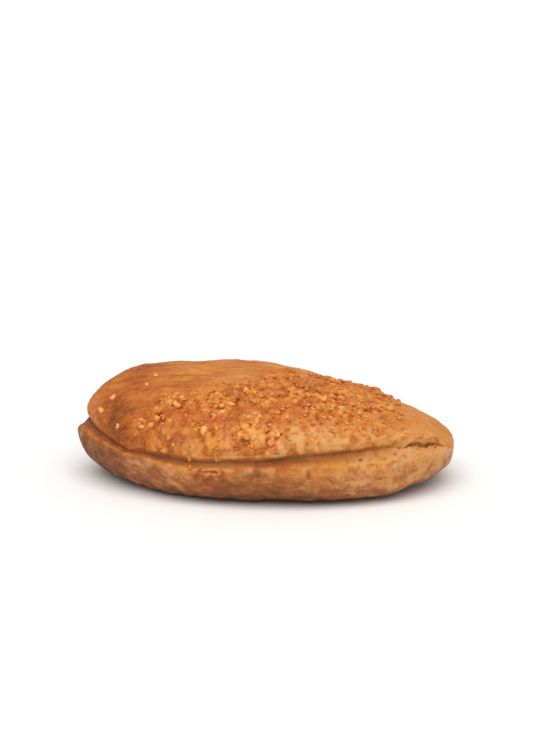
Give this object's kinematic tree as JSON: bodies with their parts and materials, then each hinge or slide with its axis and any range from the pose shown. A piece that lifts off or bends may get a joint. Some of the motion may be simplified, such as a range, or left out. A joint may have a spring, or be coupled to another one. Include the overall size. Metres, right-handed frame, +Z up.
{
  "type": "cheese pie",
  "caption": "Whole baked cheese pie: a plump folded pastry with a pressed seam along the front, a torn spot by one end and grated cheese baked onto the top.",
  "frame": {"origin": "centre of the bounding box's footprint, on the surface that the pie lies on", "axes": "+X along the length towards the torn end, +Z up out of the domed top, -Y towards the pressed seam"},
  "size_m": [0.166, 0.0914, 0.0478],
  "materials": {
    "baked_crust": "satin"
  },
  "bodies": {
    "root": {"cheese_pie": "baked_crust"}
  },
  "joints": []
}
